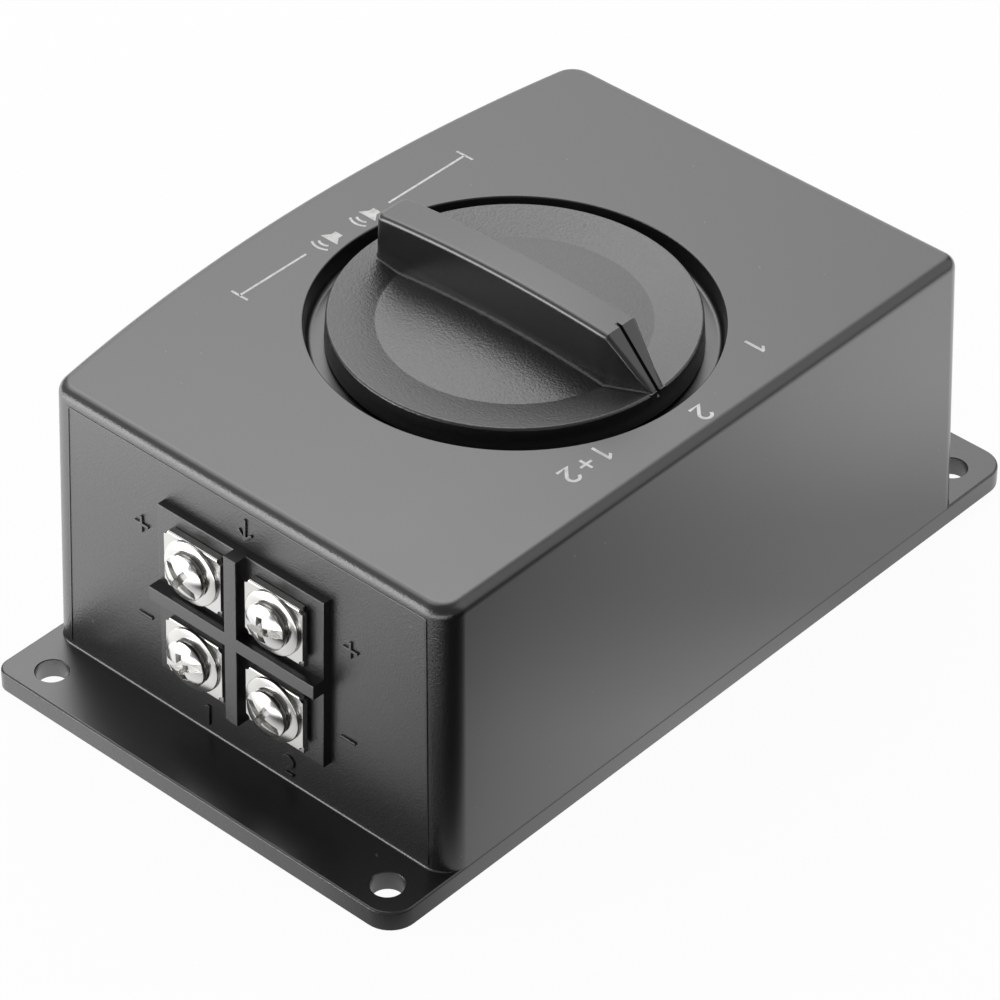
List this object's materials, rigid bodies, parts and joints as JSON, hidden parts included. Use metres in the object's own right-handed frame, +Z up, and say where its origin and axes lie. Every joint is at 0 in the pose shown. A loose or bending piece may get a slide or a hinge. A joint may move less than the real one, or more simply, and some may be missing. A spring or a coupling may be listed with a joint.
{
  "type": "speaker selector switch",
  "caption": "Rotary loudspeaker selector in a screw-down moulded box, with a dial knob on top and screw terminals on both end walls.",
  "frame": {"origin": "centre of the four mounting holes, on the underside", "axes": "+Z up out of the top, +X along the front terminal wall to the right, +Y from the front wall to the rear wall"},
  "size_m": [0.0706, 0.1164, 0.0495],
  "materials": {
    "housing_plastic": "fine satin grain, near black",
    "cover_plastic": "satin, near black",
    "knob_plastic": "fine satin grain, near black",
    "nickel_plate": "bright nickel plate",
    "zinc_steel": "clear zinc plate",
    "spring_steel": "bright drawn",
    "bushing_brass": "turned",
    "white_nylon": "natural",
    "brown_laminate": "sheet laminate",
    "contact_silver": "silver plate",
    "red_insulation": "smooth",
    "black_insulation": "smooth"
  },
  "bodies": {
    "base": {"housing": "housing_plastic", "bottom_cover": "cover_plastic", "cover_screws": "zinc_steel", "switch_bushing": "bushing_brass", "lock_washer": "zinc_steel", "bushing_nut": "nickel_plate", "index_plate": "zinc_steel", "detent_ring": "white_nylon", "upper_spacers": "zinc_steel", "upper_wafer": "brown_laminate", "upper_clips": "contact_silver", "lower_spacers": "zinc_steel", "lower_wafer": "brown_laminate", "lower_clips": "contact_silver", "tie_studs": "zinc_steel", "tie_nuts": "zinc_steel", "input_contacts": "nickel_plate", "input_clamps": "nickel_plate", "input_washers": "nickel_plate", "input_screws": "nickel_plate", "output_contacts": "nickel_plate", "output_clamps": "nickel_plate", "output_washers": "nickel_plate", "output_screws": "nickel_plate", "red_leads": "red_insulation", "black_leads": "black_insulation"},
    "selector": {"knob": "knob_plastic", "knob_spring_ring": "spring_steel", "switch_shaft": "zinc_steel", "shaft_clip": "spring_steel", "detent_rotor": "white_nylon", "detent_springs": "spring_steel", "detent_balls": "spring_steel", "upper_rotor": "white_nylon", "lower_rotor": "white_nylon", "upper_blades": "contact_silver", "lower_blades": "contact_silver"}
  },
  "joints": [
    {"name": "selector_turn", "type": "hinge", "parent": "base", "child": "selector", "pos_m": [0, 0, 0], "axis": [0, 0, 1], "range_deg": [-30, 30]}
  ]
}
